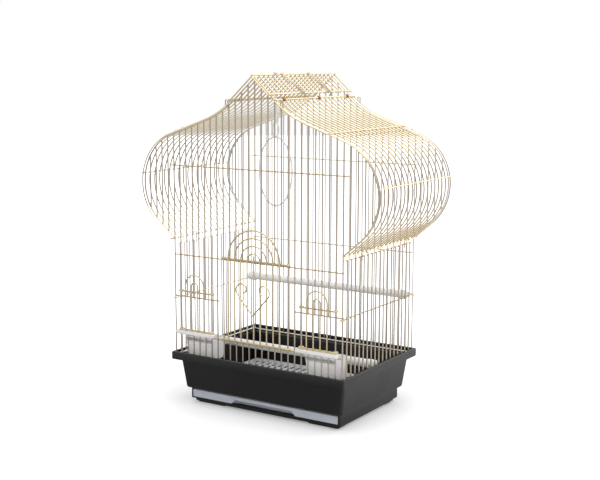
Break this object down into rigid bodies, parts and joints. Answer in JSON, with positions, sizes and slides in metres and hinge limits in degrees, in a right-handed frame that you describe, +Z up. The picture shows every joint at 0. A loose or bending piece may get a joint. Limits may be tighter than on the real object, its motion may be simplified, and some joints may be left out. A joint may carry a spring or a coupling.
{
  "type": "bird cage",
  "caption": "Small wire bird cage with an onion-arched roof, lifting doors, hook-in feeder cups, perches, a ring swing and a deep base with a floor grille and a slide-out drawer.",
  "frame": {"origin": "centre of the base, on the floor it stands on", "axes": "+Z up, -Y out of the front with the doors, cups and drawer, +X to the right as seen from the front"},
  "size_m": [0.402, 0.2244, 0.4952],
  "materials": {
    "brass_wire": "thin pale gold plating on steel wire",
    "dark_wire": "dull brown clip wire",
    "black_plastic": "moulded black, satin",
    "drawer_plastic": "moulded pale blue-grey",
    "grille_plastic": "moulded pale grey",
    "cup_plastic": "moulded off-white, semi-gloss",
    "white_plastic": "moulded white, semi-gloss"
  },
  "bodies": {
    "cage": {"base_tub": "black_plastic", "floor_grille": "grille_plastic", "front_panel": "brass_wire", "rear_panel": "brass_wire", "left_side_panel": "brass_wire", "right_side_panel": "brass_wire", "left_roof_sheet": "brass_wire", "right_roof_sheet": "brass_wire", "roof_cap": "brass_wire", "ridge_hook_1": "brass_wire", "ridge_hook_2": "brass_wire", "sheet_clip_1": "dark_wire", "sheet_clip_2": "dark_wire", "sheet_clip_3": "dark_wire", "cap_clip_1": "brass_wire", "cap_clip_2": "brass_wire", "cap_clip_3": "brass_wire", "left_feeder_cup": "cup_plastic", "right_feeder_cup": "cup_plastic", "upper_perch": "white_plastic", "upper_perch_cap_left": "white_plastic", "upper_perch_cap_right": "white_plastic", "lower_perch": "white_plastic", "lower_perch_cap_left": "white_plastic", "lower_perch_cap_right": "white_plastic"},
    "door": {"main_door": "brass_wire", "door_heart": "brass_wire"},
    "feeder_door_left": {"left_feeder_door": "brass_wire"},
    "feeder_door_right": {"right_feeder_door": "brass_wire"},
    "drawer": {"drawer_tray": "drawer_plastic"},
    "hanging_swing": {"swing": "white_plastic"}
  },
  "joints": [
    {"name": "main_door_slide", "type": "slide", "parent": "cage", "child": "door", "axis": [0, 0, 1], "range_m": [0, 0.105]},
    {"name": "left_feeder_slide", "type": "slide", "parent": "cage", "child": "feeder_door_left", "axis": [0, 0, 1], "range_m": [0, 0.044]},
    {"name": "right_feeder_slide", "type": "slide", "parent": "cage", "child": "feeder_door_right", "axis": [0, 0, 1], "range_m": [0, 0.044]},
    {"name": "drawer_slide", "type": "slide", "parent": "cage", "child": "drawer", "axis": [0, -1, 0], "range_m": [0, 0.16]},
    {"name": "swing_pivot", "type": "hinge", "parent": "cage", "child": "hanging_swing", "pos_m": [0, -0.05175, 0.49065], "axis": [0, 1, 0], "range_deg": [-25, 25]}
  ]
}
